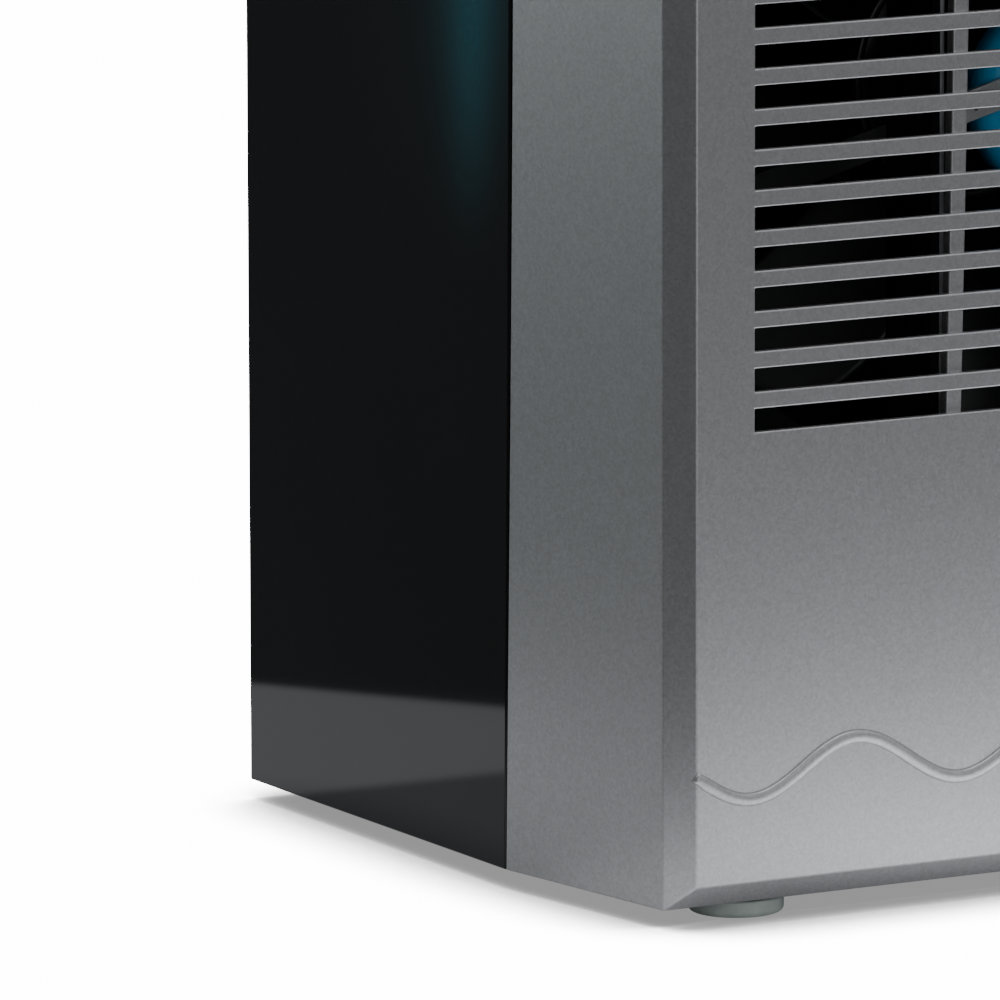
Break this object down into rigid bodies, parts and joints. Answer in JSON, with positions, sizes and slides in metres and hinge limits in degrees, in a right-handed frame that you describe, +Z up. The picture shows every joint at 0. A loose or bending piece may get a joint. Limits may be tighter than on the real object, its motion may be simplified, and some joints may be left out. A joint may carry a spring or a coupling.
{
  "type": "tower fan",
  "caption": "Boxy tower fan with a slotted silver front, glossy black sides, stacked axial fan units, swing vanes behind the grille and top controls.",
  "frame": {"origin": "on the floor below the middle of the housing", "axes": "+Z up, the slotted front faces -Y, +X is on the right seen from the front"},
  "size_m": [0.298, 0.208, 1.0148],
  "materials": {
    "silver": "silver metallic paint with a fine grain",
    "gloss_black": "high gloss",
    "matte_black": "moulded, fine texture",
    "turquoise": "semi-gloss enamel",
    "galvanised": "zinc plated",
    "steel": "bright",
    "brass": "nickel free contact brass",
    "foam": "open-cell black filter foam",
    "rubber": "matte light grey-green",
    "lamp": "clear amber"
  },
  "bodies": {
    "housing": {"base_tray": "matte_black", "dust_filter": "foam", "fan_motor_lower": "turquoise", "fan_motor_middle": "turquoise", "fan_motor_upper": "turquoise", "fan_plate_lower": "matte_black", "fan_plate_middle": "matte_black", "fan_plate_upper": "matte_black", "foot_front_left": "rubber", "foot_front_right": "rubber", "foot_rear_left": "rubber", "foot_rear_right": "rubber", "foot_screw_front_left": "steel", "foot_screw_front_right": "steel", "foot_screw_rear_left": "steel", "foot_screw_rear_right": "steel", "front_panel": "silver", "inlet_pin_left": "brass", "inlet_pin_right": "brass", "inlet_socket": "matte_black", "left_rail": "galvanised", "left_side_panel": "gloss_black", "lower_vane_rail": "matte_black", "mechanism_shelf": "galvanised", "motor_strap_lower": "galvanised", "motor_strap_middle": "galvanised", "motor_strap_upper": "galvanised", "pilot_lamp": "lamp", "rear_grille": "matte_black", "rear_lower_panel": "matte_black", "rear_screw_left": "steel", "rear_screw_right": "steel", "rear_upper_panel": "matte_black", "right_rail": "galvanised", "right_side_panel": "gloss_black", "run_capacitor": "galvanised", "speed_switch": "matte_black", "strap_screw_lower": "steel", "strap_screw_middle": "steel", "strap_screw_upper": "steel", "swing_motor": "steel", "swing_switch": "matte_black", "timer_unit": "matte_black", "top_cover": "gloss_black", "upper_vane_rail": "matte_black"},
    "lower_rotor": {"motor_shaft_lower": "steel", "impeller_lower": "matte_black"},
    "middle_rotor": {"motor_shaft_middle": "steel", "impeller_middle": "matte_black"},
    "upper_rotor": {"motor_shaft_upper": "steel", "impeller_upper": "matte_black"},
    "left_vane": {"swing_vane_left": "matte_black"},
    "middle_vane": {"swing_vane_middle": "matte_black"},
    "right_vane": {"swing_vane_right": "matte_black"},
    "tie_bar": {"vane_tie_bar": "matte_black"},
    "crank": {"swing_crank": "matte_black"},
    "speed_dial": {"speed_knob": "gloss_black"},
    "timer_dial": {"timer_knob": "gloss_black"},
    "button": {"swing_button": "gloss_black"}
  },
  "joints": [
    {"name": "lower_fan_spin", "type": "hinge", "parent": "housing", "child": "lower_rotor", "pos_m": [0, 0, 0.1938], "axis": [0, 1, 0], "continuous": true},
    {"name": "middle_fan_spin", "type": "hinge", "parent": "housing", "child": "middle_rotor", "pos_m": [0, 0, 0.48165], "axis": [0, 1, 0], "continuous": true},
    {"name": "upper_fan_spin", "type": "hinge", "parent": "housing", "child": "upper_rotor", "pos_m": [0, 0, 0.7695], "axis": [0, 1, 0], "continuous": true},
    {"name": "left_vane_swing", "type": "hinge", "parent": "housing", "child": "left_vane", "pos_m": [-0.0598, -0.088, 0.1148], "axis": [0, 0, 1], "range_deg": [-30, 30]},
    {"name": "middle_vane_swing", "type": "hinge", "parent": "housing", "child": "middle_vane", "pos_m": [0, -0.088, 0.1148], "axis": [0, 0, 1], "range_deg": [-30, 30]},
    {"name": "right_vane_swing", "type": "hinge", "parent": "housing", "child": "right_vane", "pos_m": [0.0598, -0.088, 0.1148], "axis": [0, 0, 1], "range_deg": [-30, 30]},
    {"name": "tie_bar_swing", "type": "hinge", "parent": "left_vane", "child": "tie_bar", "pos_m": [-0.0598, -0.072, 0.1123], "axis": [0, 0, 1], "range_deg": [-30, 30]},
    {"name": "crank_spin", "type": "hinge", "parent": "housing", "child": "crank", "pos_m": [-0.03, -0.068, 0.1], "axis": [0, 0, 1], "continuous": true},
    {"name": "speed_knob_turn", "type": "hinge", "parent": "housing", "child": "speed_dial", "pos_m": [-0.07, 0.005, 1], "axis": [0, 0, 1], "range_deg": [-135, 0]},
    {"name": "timer_knob_turn", "type": "hinge", "parent": "housing", "child": "timer_dial", "pos_m": [0.07, 0.005, 1], "axis": [0, 0, 1], "range_deg": [-300, 0]},
    {"name": "swing_button_press", "type": "slide", "parent": "housing", "child": "button", "axis": [0, 0, -1], "range_m": [0, 0.0025], "stiffness_N_per_m": 400, "springref_m": -0.002}
  ],
  "couplings": [
    {"joint": "middle_vane_swing", "follows": "left_vane_swing", "ratio": 1},
    {"joint": "right_vane_swing", "follows": "left_vane_swing", "ratio": 1},
    {"joint": "tie_bar_swing", "follows": "left_vane_swing", "ratio": -1}
  ]
}
